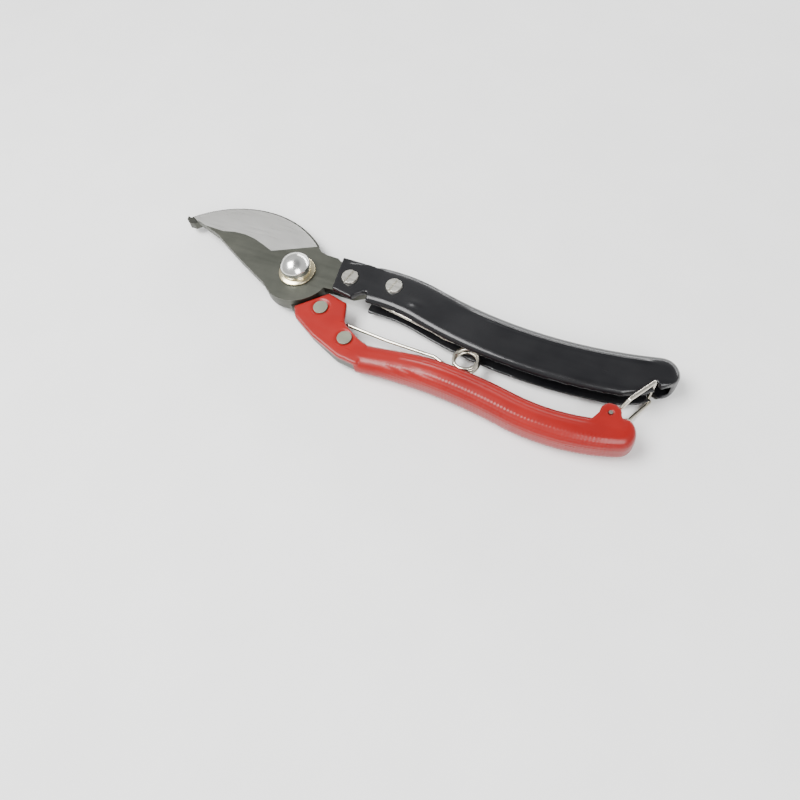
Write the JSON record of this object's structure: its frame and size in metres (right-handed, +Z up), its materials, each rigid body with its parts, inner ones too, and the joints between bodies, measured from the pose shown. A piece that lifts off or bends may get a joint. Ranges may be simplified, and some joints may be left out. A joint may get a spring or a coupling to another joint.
{
  "type": "bypass pruner",
  "caption": "Hand pruner for garden stems: a curved blade closes past a hooked counter-blade, with dipped channel handles, a torsion spring between them and a wire latch at their ends.",
  "frame": {"origin": "on the pivot axis, at the flat underside of the pivot bolt's head", "axes": "+X towards the handles' ends, +Y towards the black handle, +Z up to the domed nut"},
  "size_m": [0.2066, 0.0588, 0.0171],
  "materials": {
    "blade_steel": "satin, with a bright ground edge",
    "hook_steel": "satin",
    "zinc": "zinc plated",
    "brass": "pale plating",
    "chrome_cap": "polished",
    "frame_steel": "dark pressed steel",
    "black_vinyl": "dipped, glossy",
    "red_vinyl": "dipped, glossy",
    "spring_steel": "bright drawn wire"
  },
  "bodies": {
    "black_side": {"cutting_blade": "blade_steel", "pivot_bolt": "zinc", "under_washer": "zinc", "spring_washer": "brass", "dome_nut": "chrome_cap", "black_handle_frame": "frame_steel", "black_grip": "black_vinyl", "blade_screws": "zinc", "blade_nuts": "zinc"},
    "red_side": {"hook_blade": "hook_steel", "red_handle_frame": "frame_steel", "red_grip": "red_vinyl", "hook_rivets": "hook_steel"},
    "spring_red": {"spring_red_half": "spring_steel"},
    "spring_black": {"spring_black_half": "spring_steel"},
    "latch": {"latch_wire": "spring_steel"}
  },
  "joints": [
    {"name": "main_pivot", "type": "hinge", "parent": "black_side", "child": "red_side", "pos_m": [0, 0, 0.0048], "axis": [0, 0, -1], "range_deg": [0, 28]},
    {"name": "spring_red_foot", "type": "hinge", "parent": "red_side", "child": "spring_red", "pos_m": [0.0276, -0.0132, 0.005], "axis": [0, 0, 1], "range_deg": [0, 22]},
    {"name": "spring_coil_turn", "type": "hinge", "parent": "spring_red", "child": "spring_black", "pos_m": [0.0756, -0.0128, 0.0065], "axis": [0, 0, -1], "range_deg": [0, 22]},
    {"name": "latch_swing", "type": "hinge", "parent": "red_side", "child": "latch", "pos_m": [0.1275, -0.0179, 0.006], "axis": [0, 0, -1], "range_deg": [0, 28]}
  ],
  "couplings": [
    {"joint": "spring_red_foot", "follows": "main_pivot", "ratio": 0.7},
    {"joint": "spring_coil_turn", "follows": "main_pivot", "ratio": 0.702}
  ]
}
